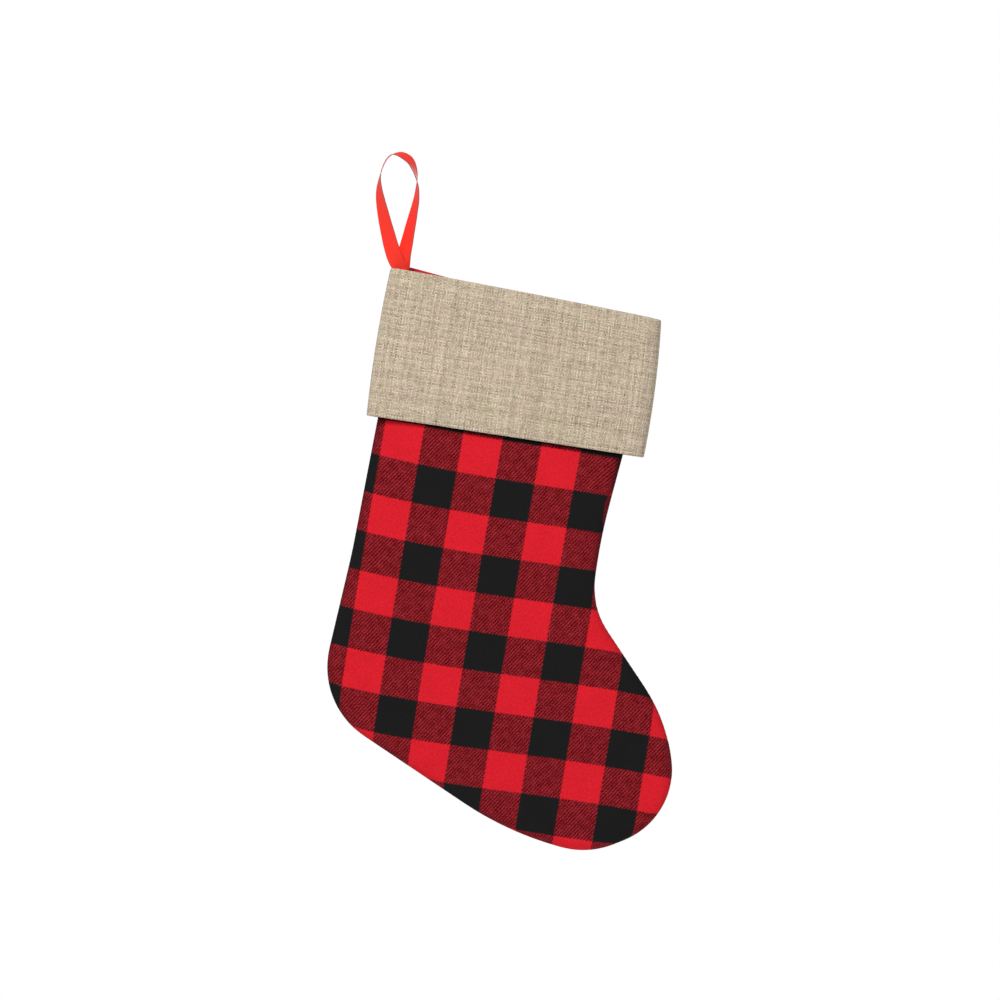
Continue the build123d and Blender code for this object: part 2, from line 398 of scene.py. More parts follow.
# Along the leg's toe-side edge the checks crowd together, but spread just under the cuff: by
# how much at which heights in the leg plane.
crowd_heights = np.array([-215, -190, -181, -175, -166, -156, -151, -146, -118]) * MM
crowd_amounts = np.array([0, -1.5, -1.5, 3.0, 5.5, 5.5, 1.5, -5.5, -6.5]) * MM
crowd_reach = 8 * MM


def toward_toe_edge(x):
    """0 on the heel side of the leg and 1 near its toe-side edge."""
    return soft((x - 150 * MM) / (20 * MM))


def from_outline(flat, edge):
    """How far each flat point hangs inside the leg's outline."""
    dist, _, _ = nearest_on_line(flat, edge)
    return np.interp(np.minimum(dist, section_run[-1]), section_run, edge_section[:, 0])


def plaid_uv(flat, edge):
    """Where each flat point lies on the woven checks."""
    x, y = flat[:, 0], flat[:, 1]
    bow_along, bow_up = plaid_bow(x, y)
    u = x - plaid_skew * y - plaid_corner[0] + bow_along
    crowd = np.interp(y, crowd_heights, crowd_amounts) * toward_toe_edge(x)
    u = u + crowd * np.exp(-from_outline(flat, edge) / crowd_reach)
    v = y - plaid_skew * x - plaid_corner[1] + bow_up
    return np.column_stack([u, v])


def painted_edge_shade(flat, edge):
    """How light the flannel is, as painted shade: its colour darkens at its turned edges, where they
    curve away from the light, and most just under the cuff's toe-side corner, in the cuff's shadow."""
    x, y = flat[:, 0], flat[:, 1]
    above_ankle = soft((y + 225 * MM) / (30 * MM))
    toe_side = toward_toe_edge(x) * above_ankle
    near_cuff = soft((y + 152 * MM) / (32 * MM))
    strength = 0.45 + toe_side * (0.3 + 0.17 * near_cuff)
    reach = (0.9 + toe_side * (0.5 + 2.4 * near_cuff)) * MM
    return 1 - strength * np.exp(-(from_outline(flat, edge) / reach) ** 2)


# ---- materials ---------------------------------------------------------------------------
def srgb(r, g, b):
    """Linear colour from screen values, 0 to 255."""
    return tuple(((c / 255 + 0.055) / 1.055) ** 2.4 if c > 10 else c / 3294 for c in (r, g, b)) + (1.0,)


class Nodes:
    """A short way to write a shader's node tree."""

    def __init__(self, name):
        self.material = bpy.data.materials.new(name)
        self.material.use_nodes = True
        self.tree = self.material.node_tree
        self.tree.nodes.clear()
        self.output = self.add("ShaderNodeOutputMaterial")
        self.shader = self.add("ShaderNodeBsdfPrincipled")
        self.link(self.shader.outputs[0], self.output.inputs["Surface"])

    def add(self, kind, **settings):
        """A new node, with these settings."""
        node = self.tree.nodes.new(kind)
        for key, value in settings.items():
            setattr(node, key, value)
        return node

    def link(self, a, b):
        self.tree.links.new(a, b)

    def put(self, socket, value):
        """Links the value if it's a socket, or else sets it."""
        if isinstance(value, bpy.types.NodeSocket):
            self.link(value, socket)
        else:
            socket.default_value = value

    def math(self, operation, a, b=None, c=None):
        """The result of a sum; each of a, b and c is a number or a socket."""
        node = self.add("ShaderNodeMath", operation=operation)
        self.put(node.inputs[0], a)
        if b is not None:
            self.put(node.inputs[1], b)
        if c is not None:
            self.put(node.inputs[2], c)
        return node.outputs[0]

    def mix(self, factor, a, b, blend="MIX"):
        node = self.add("ShaderNodeMix", data_type="RGBA", blend_type=blend)
        self.put(node.inputs["Factor"], factor)
        self.put(node.inputs["A"], a)
        self.put(node.inputs["B"], b)
        return node.outputs["Result"]

    def dim(self, color, share):
        """A colour times a number."""
        return self.mix(1.0, color, self.vector(share, share, share), "MULTIPLY")

    def uv(self, layer="cloth"):
        """A UV layer as a vector, and its two numbers.  The layer cloth holds metres of cloth."""
        node = self.add("ShaderNodeUVMap", uv_map=layer)
        parts = self.add("ShaderNodeSeparateXYZ")
        self.link(node.outputs["UV"], parts.inputs[0])
        return node.outputs["UV"], parts.outputs["X"], parts.outputs["Y"]

    def vector(self, x, y, z=0.0):
        node = self.add("ShaderNodeCombineXYZ")
        for socket, value in zip(node.inputs, (x, y, z)):
            self.put(socket, value)
        return node.outputs[0]

    def noise(self, vector, scale, detail=2.0, rough=0.5):
        node = self.add("ShaderNodeTexNoise")
        self.link(vector, node.inputs["Vector"])
        node.inputs["Scale"].default_value = scale
        node.inputs["Detail"].default_value = detail
        node.inputs["Roughness"].default_value = rough
        return node.outputs["Fac"]

    def random(self, value, seed=0.0):
        """One random number for each whole number."""
        node = self.add("ShaderNodeTexWhiteNoise", noise_dimensions="2D")
        self.link(self.vector(value, seed), node.inputs["Vector"])
        return node.outputs["Value"]

    def span(self, value, low, high, to_low, to_high):
        """A value between low and high, carried over to another range."""
        node = self.add("ShaderNodeMapRange")
        self.put(node.inputs["Value"], value)
        for key, number in zip(("From Min", "From Max", "To Min", "To Max"), (low, high, to_low, to_high)):
            node.inputs[key].default_value = number
        return node.outputs["Result"]

    def bump(self, height, distance, strength=1.0):
        node = self.add("ShaderNodeBump")
        node.inputs["Strength"].default_value = strength
        node.inputs["Distance"].default_value = distance
        self.link(height, node.inputs["Height"])
        self.link(node.outputs[0], self.shader.inputs["Normal"])

    def painted_gap_shade(self, color, reach, deepest):
        """The same colour with painted shade: darker where ambient occlusion finds another piece closing
        over the cloth.
        """
        gap = self.add("ShaderNodeAmbientOcclusion", samples=16)
        gap.inputs["Distance"].default_value = reach
        closed, clear = 0.70, 0.88             # how open to the light, from 0 to 1
        open_share = self.span(gap.outputs["AO"], closed, clear, deepest, 1.0)
        return self.dim(color, open_share)

    def surface(self, color, roughness, sheen=0.0, sheen_rough=0.5, specular=0.3):
        """Sets up the shader; only the colour and the roughness may be sockets."""
        self.put(self.shader.inputs["Base Color"], color)
        self.put(self.shader.inputs["Roughness"], roughness)
        self.shader.inputs["Specular IOR Level"].default_value = specular
        self.shader.inputs["Sheen Weight"].default_value = sheen
        self.shader.inputs["Sheen Roughness"].default_value = sheen_rough


# Colours as the screen shows them; the checks' mixed squares run from dark to bright threads.
check_red, check_pink, check_black = srgb(220, 21, 34), srgb(223, 39, 54), srgb(27, 27, 27)
mixed_bright, mixed_dark = srgb(176, 48, 60), srgb(88, 0, 1)
linen_pale, linen_dark = srgb(252, 234, 211), srgb(150, 133, 112)
linen_pinker, linen_greener = (1.0, 0.962, 0.955, 1), (0.955, 0.975, 0.90, 1)
lining_color = srgb(206, 26, 38)
ribbon_color, ribbon_edge_color = srgb(255, 49, 31), srgb(250, 44, 30)
ribbon_border_color = srgb(130, 26, 40)
red_thread_color, linen_thread_color = srgb(150, 20, 30), srgb(186, 168, 142)
linen_pitch, linen_wander = 1.1 * MM, 2.2 * MM
lining_pitch = 0.45 * MM
ribbon_rib_pitch = 0.34 * MM


def plaid_material():
    """Brushed 2/2 twill with red and black yarns in even checks."""
    n = Nodes("plaid_flannel")
    uv, u, v = n.uv()
    warp_pitch, weft_pitch = check_across / warp_per_check, check_down / weft_per_check
    # Where a square has both colours, the twill's diagonal lines show.
    diagonal = n.math("SUBTRACT", n.math("DIVIDE", u, warp_pitch), n.math("DIVIDE", v, weft_pitch))
    wobble = n.math("MULTIPLY", n.math("SUBTRACT", n.noise(uv, 420.0, 2.0), 0.5), 2.6)
    phase = n.math("ADD", n.math("MULTIPLY", diagonal, math.pi / 2), wobble)
    # The nap and the twill make the edges of the checks uneven.
    nap = n.math("SUBTRACT", n.noise(uv, 800.0, 2.0, 0.6), 0.5)
    stray = n.math("MULTIPLY_ADD", nap, 2.4 * MM, n.math("MULTIPLY", n.math("SINE", phase), 0.22 * MM))

    def red_share(place, check, seen_first):
        """1 in a band of red yarns and 0 in a black one."""
        # Whole checks are added too, so that the place is never below zero.
        start = (40.5 if seen_first else 41.5) * check
        wave = n.math("PINGPONG", n.math("ADD", n.math("ADD", place, stray), start), check)
        return n.span(wave, check / 2 - 0.3 * MM, check / 2 + 0.3 * MM, 0.0, 1.0)

    warp_red = red_share(u, check_across, True)
    weft_red = red_share(v, check_down, False)
    line = n.math("SINE", n.math("ADD", phase, n.math("MULTIPLY", warp_red, math.pi)))
    clumps = n.span(n.noise(uv, 170.0, 3.0, 0.6), 0.34, 0.66, -0.5, 0.5)
    grain = n.span(n.noise(uv, 1300.0, 2.0, 0.6), 0.3, 0.7, -2.2, 2.2)
    line = n.math("ADD", n.math("ADD", line, clumps), grain)
    line = n.span(line, -0.7, 1.8, 0.0, 1.0)
    both = n.mix(line, mixed_dark, mixed_bright)
    level = n.math("ADD", warp_red, weft_red)
    color = n.mix(n.span(level, 0.0, 1.0, 0.0, 1.0), check_black, both)
    blush = n.span(n.noise(uv, 700.0, 2.0, 0.6), 0.32, 0.68, 0.0, 1.0)
    color = n.mix(n.span(level, 1.0, 2.0, 0.0, 1.0), color, n.mix(blush, check_red, check_pink))
    # Brushed fibres and slow changes of tone.
    fibres = n.noise(n.vector(n.math("MULTIPLY", u, 900.0), n.math("MULTIPLY", v, 260.0)), 1.0, 3.0, 0.6)
    cloudy = n.noise(uv, 55.0, 2.0)
    tone = n.math("MULTIPLY", n.span(fibres, 0.3, 0.7, 0.92, 1.08), n.span(cloudy, 0.3, 0.7, 0.96, 1.04))
    # Painted shade at the turned edges, read from the UV layer shade, darkens the colour.
    _, painted_edge_light, _ = n.uv("shade")
    color = n.dim(color, n.math("MULTIPLY", tone, painted_edge_light))
    # Painted contact shadow under the cuff's hem and wherever another piece closes over the flannel.
    color = n.painted_gap_shade(color, 10 * MM, 0.08)
    n.surface(color, roughness=0.95, sheen=0.02, sheen_rough=0.6, specular=0.05)
    # Ridges of the twill, with the brushed nap over them.
    height = n.math("MULTIPLY_ADD", n.math("SINE", phase), 0.25, n.math("MULTIPLY", fibres, 1.2))
    n.bump(height, 0.25 * MM, 0.4)
    return n.material


def linen_material():
    """Coarse plain weave with uneven, slubby threads."""
    n = Nodes("natural_linen")
    uv, u, v = n.uv()

    def wound(across):
        """Roundness of a thread: 1 along its middle and 0 at its sides."""
        return n.math("SUBTRACT", 1.0, n.math("MULTIPLY", n.math("MULTIPLY", across, across), 4.0))

    # Threads wander a little, so the grid isn't ruled.
    wander = n.math("SUBTRACT", n.noise(uv, 60.0, 2.0), 0.5)
    shift = n.math("SUBTRACT", n.noise(n.vector(v, u, 3.0), 55.0, 2.0), 0.5)
    x = n.math("DIVIDE", n.math("ADD", u, n.math("MULTIPLY", wander, linen_wander)), linen_pitch)
    y = n.math("DIVIDE", n.math("ADD", v, n.math("MULTIPLY", shift, linen_wander)), linen_pitch)
    i, j = n.math("FLOOR", x), n.math("FLOOR", y)
    over = n.math("FLOORED_MODULO", n.math("ADD", i, j), 2.0)
    over = n.math("GREATER_THAN", over, 0.5)
    across_warp = n.math("SUBTRACT", n.math("FRACT", x), 0.5)
    across_weft = n.math("SUBTRACT", n.math("FRACT", y), 0.5)
    # Each thread has its own tone, which drifts along its length, and slubs of its own.
    warp_drift = n.noise(n.vector(n.math("MULTIPLY", i, 7.31), n.math("MULTIPLY", v, 75.0)), 1.0, 2.0)
    weft_drift = n.noise(n.vector(n.math("MULTIPLY", u, 75.0), n.math("MULTIPLY", j, 6.17), 9.0), 1.0, 2.0)
    warp_tone = n.math("ADD", n.math("MULTIPLY", n.random(i, 3.0), 0.6), n.math("MULTIPLY", warp_drift, 1.5))
    weft_tone = n.math("ADD", n.math("MULTIPLY", n.random(j, 4.0), 0.6), n.math("MULTIPLY", weft_drift, 1.5))
    tone = n.mix(over, weft_tone, warp_tone)
    tone = n.math("ADD", tone, n.math("MULTIPLY", n.random(i, j), 0.45))
    profile = n.mix(over, wound(across_weft), wound(across_warp))
    fibre = n.noise(uv, 2600.0, 2.0, 0.7)
    shade = n.span(tone, 0.6, 1.95, 0.0, 1.0)
    color = n.mix(shade, linen_dark, linen_pale)
    # Undyed yarn varies slowly between a pinker and a greener beige.
    tint = n.span(n.noise(uv, 75.0, 3.0, 0.6), 0.35, 0.65, 0.0, 1.0)
    color = n.mix(1.0, color, n.mix(tint, linen_pinker, linen_greener), "MULTIPLY")
    # Painted shade: each thread darkens towards its sides, into the gaps between threads; the fibre noise is
    # the yarn's own tone.
    lift = n.math("MULTIPLY", n.span(profile, 0.0, 1.0, 0.72, 1.06), n.span(fibre, 0.3, 0.7, 0.86, 1.12))
    color = n.dim(color, lift)
    n.surface(color, roughness=0.88, sheen=0.08, specular=0.2)
    height = n.math("MULTIPLY_ADD", profile, 0.8, n.math("MULTIPLY", fibre, 0.4))
    n.bump(height, 0.3 * MM, 0.8)
    return n.material


def lining_material():
    """Plain red lining with a fine weave."""
    n = Nodes("red_lining")
    uv, u, v = n.uv()
    weave = n.math("MULTIPLY", n.math("SINE", n.math("MULTIPLY", u, math.pi / lining_pitch)),
                   n.math("SINE", n.math("MULTIPLY", v, math.pi / lining_pitch)))
    cloudy = n.noise(uv, 90.0, 3.0)
    tone = n.math("ADD", n.span(weave, -1, 1, 0.9, 1.05), n.span(cloudy, 0.3, 0.7, -0.06, 0.06))
    color = n.dim(lining_color, tone)
    n.surface(color, roughness=0.62, sheen=0.15, specular=0.3)
    n.bump(weave, 0.08 * MM, 0.5)
    return n.material


def ribbon_material():
    """Satin ribbon: fine ribs across it and a firmer edge down each side."""
    n = Nodes("red_ribbon")
    _, u, v = n.uv()
    ribs = n.math("SINE", n.math("MULTIPLY", v, 2 * math.pi / ribbon_rib_pitch))
    from_middle = n.math("ABSOLUTE", n.math("DIVIDE", u, ribbon_width / 2))
    edge = n.span(from_middle, 0.86, 0.94, 0.0, 1.0)
    streak = n.noise(n.vector(n.math("MULTIPLY", u, 2600.0), n.math("MULTIPLY", v, 60.0)), 1.0, 3.0)
    tone = n.math("ADD", n.span(ribs, -1, 1, 0.96, 1.03), n.span(streak, 0.3, 0.7, -0.05, 0.05))
    color = n.mix(edge, ribbon_color, ribbon_edge_color)
    # The cut sides and the very border look dark.
    color = n.mix(n.span(from_middle, 0.955, 0.985, 0.0, 1.0), color, ribbon_border_color)
    color = n.dim(color, tone)
    n.surface(color, roughness=n.span(edge, 0, 1, 0.55, 0.62), sheen=0.1, specular=0.3)
    n.bump(edge, 0.06 * MM, 0.1)
    return n.material


def thread_material(name, color):
    """Spun thread, a little uneven."""
    n = Nodes(name)
    place = n.add("ShaderNodeTexCoord").outputs["Object"]
    fuzz = n.noise(place, 2500.0, 3.0)
    tone = n.span(fuzz, 0.3, 0.7, 0.8, 1.15)
    color = n.dim(color, tone)
    n.surface(color, roughness=0.7, sheen=0.2, specular=0.3)
    n.bump(fuzz, 0.1 * MM, 0.6)
    return n.material


plaid, linen, red_lining, satin = plaid_material(), linen_material(), lining_material(), ribbon_material()
red_thread = thread_material("red_thread", red_thread_color)
linen_thread = thread_material("linen_thread", linen_thread_color)


# ---- leg and lining panels -----------------------------------------------------------------
def flat_area(vertices, faces):
    """Area of the flat cut, in square metres."""
    a, b, c = (vertices[[f[k] for f in faces]] for k in range(3))
    return float(0.5 * np.abs(np.cross(b - a, c - a)).sum())


def outward_faces(points, faces, side):
    """Faces wound so that most of them look away from the middle plane."""
    a, b, c = (points[[f[k] for f in faces]] for k in range(3))
    facing = np.cross(b - a, c - a)[:, 1].sum() * side
    return faces if facing > 0 else [f[::-1] for f in faces]


def make_panel(name, cut, side, inset, thickness, material, ripple=1.0, lift=None):
    """One panel of cloth with its thickness; also its flat size and flat area."""
    flat, triangles, edge = cut
    points = shape_panel(flat, edge, side, inset, ripple)
    if lift is not None:
        points = points + up_leg * lift(flat)[:, None]
    uv = plaid_uv(flat, edge)
    obj = new_object(name, points, outward_faces(points, triangles, side), uv, material)
    # A second UV layer carries the painted shade of the turned edges to the flannel's material.
    light = painted_edge_shade(flat, edge)
    layer = obj.data.uv_layers.new(name="shade")
    for loop in obj.data.loops:
        layer.data[loop.index].uv = (light[loop.vertex_index], 0.0)
    smooth_sheet(obj)
    thicken(obj, thickness)
    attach(obj, "stocking")
    size = (float(np.ptp(flat[:, 0])), float(np.ptp(flat[:, 1])))
    return obj, size, flat_area(flat, triangles)


def back_rim_lift(x):
    """How far the back's top edge stands above the front rim, where the ribbon pulls it up."""
    return 3.6 * MM * soft((x - 2 * MM) / (7 * MM)) * (1 - np.clip((x - 15 * MM) / (45 * MM), 0, 1)) ** 1.1


def back_lining_lift(flat):
    """The same lift for a point of the back lining; it dies away down the leg."""
    below_rim = rim_height(flat[:, 0]) - flat[:, 1]
    return back_rim_lift(flat[:, 0]) * (1 - soft(below_rim / (14 * MM)))


shell_cut = flat_panel(flannel_spacing, flannel_drop)
lining_cut = flat_panel(lining_spacing, lining_drop)

for side, word in ((FRONT, "front"), (BACK, "back")):
    lift = back_lining_lift if side == BACK else None
    obj, size, area = make_panel(
        f"lining_{word}", lining_cut, side, lining_inset, lining_thickness, red_lining,
        ripple=0.8, lift=lift,
    )
    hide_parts(f"lining_{word}_panel")

    obj, size, area = make_panel(f"flannel_{word}", shell_cut, side, 0.0, flannel_thickness, plaid)
    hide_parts(f"shell_{word}_panel")

# ---- cuff: linen turned over the rim, hanging outside the leg and folded back up inside -----
cuff_top_width = 220.8 * MM
# Each side edge bows a little outwards: x and y of its bottom, middle and top.
cuff_heel_edge = np.array([(-0.3, -119.0), (-1.95, -60.0), (0.0, 0.0)]) * MM
cuff_toe_edge = np.array([(224.4, -117.1), (224.6, -62.0), (220.8, -6.9)]) * MM
cuff_section = smooth_line(np.array([
    (0.8, 0.03), (0.25, 0.4), (0.0, 1.3), (0.15, 2.6), (0.7, 4.3), (1.9, 6.4), (3.8, 8.4),
    (6.5, 10.0), (10.0, 11.2), (16.0, 11.9), (28.0, 12.3), (60.0, 12.5),
]) * MM, 80)
cuff_hem_inward = 1.1                  # distance from the outer layer in to the inner one, mm
cuff_columns = 104
cuff_roll = [                          # turned over the rim: height from it and way in, mm
    (-3.5, 3.55), (-2.4, 3.55), (-1.4, 3.5), (-0.65, 3.2), (-0.25, 2.7), (-0.1, 2.1),
    (-0.1, 1.5), (-0.2, 0.85), (-0.55, 0.3), (-1.2, 0.04),
]


def edge_at(edge, y):
    """Where a side edge of the cuff lies at these heights, on the curve through its points."""
    total = 0.0
    for k, (x, own) in enumerate(edge):
        a, b = (edge[j][1] for j in range(3) if j != k)
        total = total + x * (y - a) * (y - b) / ((own - a) * (own - b))
    return total


def cuff_cross_section(columns):
    """The cuff's outer face in section, heel seam to toe seam: x, depth and way out."""
    left = cuff_section
    right = np.column_stack([cuff_top_width - left[::-1, 0], left[::-1, 1]])
    line = resample(np.vstack([left, right]), cuff_top_width / columns)
    return line, -outward_of(line), length_along(line)


def cuff_rows():
    """Rows of the linen from its tucked end over the rim, down, round the hem and up inside.
    Each is (share of the way to the bottom edge, height above that and way in, both in mm)."""
    deep = cuff_hem_inward
    hem = [(0.0, 0.0), (-0.4, 0.08), (-0.62, 0.3), (-0.68, 0.5 * deep), (-0.62, deep - 0.3),
           (-0.4, deep - 0.08), (0.0, deep)]
    rows = [(0.0, dy, inward) for dy, inward in cuff_roll]
    down = np.linspace(0.02, 0.985, 46)
    rows += [(t, 0.0, 0.0) for t in down]
    rows += [(1.0, dy, inward) for dy, inward in hem]
    rows += [(t, 0.0, deep) for t in down[::-2] if t > 0.05]
    return rows


def cuff_row(section, side, t, dy, inward):
    """Points of one row of the linen: t is its share of the way down to the bottom edge."""
    line, out, run = section
    share = line[:, 0] / cuff_top_width
    heel_low, heel_top = cuff_heel_edge[0, 1], cuff_heel_edge[2, 1]
    toe_low, toe_top = cuff_toe_edge[0, 1], cuff_toe_edge[2, 1]
    left_x = edge_at(cuff_heel_edge, heel_top + (heel_low - heel_top) * t)
    right_x = edge_at(cuff_toe_edge, toe_top + (toe_low - toe_top) * t)
    x = left_x + share * (right_x - left_x)
    bottom = heel_low + share * (toe_low - heel_low)
    y = rim_height(x) * (1 - t) + bottom * t + dy * MM
    if side == BACK:
        y = y + 0.75 * back_rim_lift(x) * (1 - soft(t / 0.12))
    # The linen flares and ripples a little, most at its hem and not at its side seams.
    off_seam = soft(np.minimum(run, run[-1] - run) / (26 * MM))
    place = np.column_stack([x, y])
    wave = 0.5 + 0.5 * bumps(place, 58 * MM, 11 + side)
    small = bumps(place, 17 * MM, 5 + side)
    flare = (0.4 + 1.1 * wave) * soft((t - 0.35) / 0.65) * off_seam
    depth = line[:, 1] + MM * (flare + off_seam * (0.35 * wave + 0.1 * small))
    x = x - out[:, 0] * inward * MM
    depth = depth - out[:, 1] * inward * MM
    y = y + MM * 0.35 * bumps(place * [1, 0], 40 * MM, 21 + side) * soft((t - 0.9) / 0.1)
    return to_row(np.column_stack([x, y, side * depth]))


def make_cuff(word, side):
    """One side of the cuff: the linen's outer layer, its hem and the layer folded up inside."""
    section = cuff_cross_section(cuff_columns)
    run = section[-1]
    columns = len(run)
    rows = [cuff_row(section, side, *row) for row in cuff_rows()]
    # How far the linen has come at each row, for its flat coordinates.
    travelled, uvs = 0.0, []
    for k, row in enumerate(rows):
        if k > 0:
            travelled += float(np.median(np.linalg.norm(row - rows[k - 1], axis=1)))
        uvs.append(np.column_stack([run, np.full(columns, -travelled)]))
    faces = []
    for r in range(len(rows) - 1):
        for c in range(columns - 1):
            a = r * columns + c
            quad = (a, a + 1, a + columns + 1, a + columns)
            faces.append(quad if side == BACK else quad[::-1])
    obj = new_object(f"cuff_{word}", np.vstack(rows), faces, np.vstack(uvs), linen)
    smooth_sheet(obj)
    thicken(obj, linen_thickness)
    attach(obj, "stocking")
    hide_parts(f"cuff_{word}_panel")


for side, word in ((FRONT, "front"), (BACK, "back")):
    make_cuff(word, side)

# ---- ribbon loop ------------------------------------------------------------------------
# The ribbon's middle line from its heel-side root over the hook to its toe-side root: X and
# Z from the hook in millimetres, and how far the ribbon's face has turned, in degrees: 0 is
# edge-on to the viewer, -90 shows the outer face and 90 the inner one.  The last number is
# how much of its width it keeps where it is pinched into the mouth.
ribbon_stations = [
    (2.5, -102.4, -90, 0.78), (2.8, -97.6, -90, 0.78), (2.2, -93.6, -90, 0.8),
    (1.1, -90.4, -89, 0.9), (-1.1, -87.2, -86, 0.99), (-3.4, -82.4, -80, 1),
    (-5.1, -77.6, -74, 1), (-7.0, -71.2, -67, 1), (-8.6, -64.8, -61, 1),
    (-10.2, -58.4, -55, 1), (-11.7, -52.0, -50, 1), (-13.1, -45.6, -44, 1),
    (-14.4, -39.2, -37, 1), (-15.4, -32.8, -29, 1), (-15.8, -26.4, -19, 1),
    (-15.4, -20.0, -8, 1), (-14.1, -14.2, -2, 1), (-12.0, -8.6, -1, 1), (-9.3, -3.9, -1, 1),
    (-5.8, -0.9, -3, 1), (-2.0, -0.2, -14, 1), (2.2, -0.9, -25, 1), (6.8, -3.4, -30, 1),
    (9.8, -6.6, -27, 1), (11.8, -10.8, -21, 1), (13.3, -15.5, -13, 1), (14.2, -20.6, -3, 1),
    (14.6, -26.4, 10, 1), (14.3, -32.8, 18, 1), (13.4, -39.2, 25, 1), (12.0, -45.6, 30, 1),
    (10.6, -52.0, 36, 1), (9.1, -58.4, 41, 1), (7.7, -64.8, 46, 1), (6.3, -71.2, 52, 1),
    (4.8, -77.6, 58, 1), (3.5, -84.0, 66, 1), (2.9, -90.0, 77, 0.95), (2.7, -93.6, 84, 0.86),
    (2.7, -97.6, 90, 0.78), (2.5, -102.4, 90, 0.78),
]
root_depth = 0.28 * MM                 # each end's distance from the middle plane at the root
ribbon_split = -50 * MM                # the ribbon is three pieces, which meet at this height


def ribbon_line(count):
    """Middle points, half-width vectors and face normals along the ribbon."""
    s = smooth_line(np.array(ribbon_stations, float), count)
    middle = np.column_stack([s[:, 0] * MM, np.zeros(count), s[:, 1] * MM])
    # The heel-side end lies just in front of the toe-side one at the root.
    share = np.linspace(-1, 1, count)
    middle[:, 1] = root_depth * np.sign(share) * soft((np.abs(share) - 0.35) / 0.4)
    tangent = unit(np.gradient(middle, axis=0))
    across = unit(np.cross(toward_back, tangent))
    angle = np.radians(s[:, 2])[:, None]
    width = np.cos(angle) * toward_back + np.sin(angle) * across
    normal = np.cross(tangent, width)
    return middle, width * s[:, 3:4], normal


ribbon_middle, ribbon_across, ribbon_normal = ribbon_line(480)
ribbon_run = length_along(ribbon_middle)


def make_ribbon(name, keep, nodes):
    """One stretch of the ribbon, as a strip with slightly thicker edges."""
    index = np.flatnonzero(keep)
    lanes = np.array([-1.0, -0.98, -0.92, -0.88, -0.5, 0.0, 0.5, 0.88, 0.92, 0.98, 1.0])
    out = np.abs(lanes)
    half_thick = ribbon_thickness / 2 * np.where(out > 0.99, 0.6, np.where(out > 0.9, 1.25, 0.85))
    ring = [(lane, thick) for lane, thick in zip(lanes, half_thick)]
    ring += [(lane, -thick) for lane, thick in zip(lanes[::-1], half_thick[::-1])]
    points, uvs = [], []
    for k in index:
        for lane, thick in ring:
            place = ribbon_middle[k] + ribbon_across[k] * lane * ribbon_width / 2
            points.append(place + ribbon_normal[k] * thick)
            uvs.append((lane * ribbon_width / 2, ribbon_run[k]))
    obj = new_object(name, points, tube_faces(len(index), len(ring)), uvs, satin)
    for cap in list(obj.data.polygons)[-2:]:
        cap.use_smooth = False
    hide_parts(*nodes)
    return obj


halfway = len(ribbon_middle) // 2
split_low = int(np.argmin(np.abs(ribbon_middle[:halfway, 2] - ribbon_split)))
split_high = halfway + int(np.argmin(np.abs(ribbon_middle[halfway:, 2] - ribbon_split)))
order = np.arange(len(ribbon_middle))
between_splits = (order >= split_low) & (order <= split_high)
over_hook = make_ribbon("ribbon_over_hook", between_splits, ["loop_bight"])
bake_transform(over_hook)
heel_ribbon = make_ribbon("ribbon_heel_side", order <= split_low, ["loop_leg_heel_side", "loop_tails"])
toe_ribbon = make_ribbon("ribbon_toe_side", order >= split_high, ["loop_leg_toe_side"])
for obj in (heel_ribbon, toe_ribbon):
    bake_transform(obj)

# ---- stitches ------------------------------------------------------------------------------
stitch_pitch = 3.0 * MM


def stitch_mesh(name, stitches, radius, material, node):
    """Many short stitches as one piece; each stitch is a list of points it runs through."""
    sides = 6
    off_axis = (0.31, 0.17, 0.93)          # not along any stitch
    points, faces = [], []
    for stitch in stitches:
        path = smooth_line(np.asarray(stitch, float), 7)
        tangent = unit(np.gradient(path, axis=0))
        side_way = unit(np.cross(tangent, off_axis))
        up_way = np.cross(side_way, tangent)
        first = len(points)
        for k, place in enumerate(path):
            girth = radius * (0.55 if k in (0, len(path) - 1) else 1.0)
            for c in range(sides):
                a = 2 * math.pi * c / sides
                points.append(place + girth * (math.cos(a) * side_way[k] + math.sin(a) * up_way[k]))
        faces += tube_faces(len(path), sides, first)
    obj = new_object(name, points, faces, None, material)
    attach(obj, "stocking")
    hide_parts(node)


def seam_stitches(line, inset, half_length, bulge):
    """Stitches that bridge the groove between two panels, all along a seam."""
    places = resample(line, stitch_pitch)
    out = outward_of(places)
    stitches = []
    for place, way in zip(places[1:-1], out[1:-1]):
        lane = [(-half_length, inset + bulge), (0.0, inset), (half_length, inset + bulge)]
        stitches.append(to_row([(*(place - way * d), y) for y, d in lane]))
    return stitches


below_rim = leg_line[leg_line[:, 1] < rim_height(leg_line[:, 0]) - flannel_drop]
leg_stitches = seam_stitches(below_rim, inset=0.55 * MM, half_length=0.7 * MM, bulge=0.5 * MM)
stitch_mesh("leg_seam_stitches", leg_stitches, 0.16 * MM, red_thread,
            "shell_seam_thread")
lining_stitches = seam_stitches(below_rim, inset=2.6 * MM, half_length=0.7 * MM, bulge=0.4 * MM)
stitch_mesh("lining_seam_stitches", lining_stitches, 0.12 * MM, red_thread,
            "lining_seam_thread")
# Both side seams of the cuff run anticlockwise round it, and stop short of its rim and hem.
for word, side_edge, start, end in (
    ("heel", cuff_heel_edge, -3 * MM, cuff_heel_edge[0, 1] + 2 * MM),
    ("toe", cuff_toe_edge, cuff_toe_edge[0, 1] + 2 * MM, -10 * MM),
):
    heights = np.linspace(start, end, 40)
    seam = resample(np.column_stack([edge_at(side_edge, heights), heights]), 2 * MM)
    side_stitches = seam_stitches(seam, inset=0.3 * MM, half_length=0.6 * MM, bulge=0.35 * MM)
    stitch_mesh(f"cuff_{word}_stitches", side_stitches, 0.15 * MM, linen_thread,
                f"cuff_{word}_seam_thread")

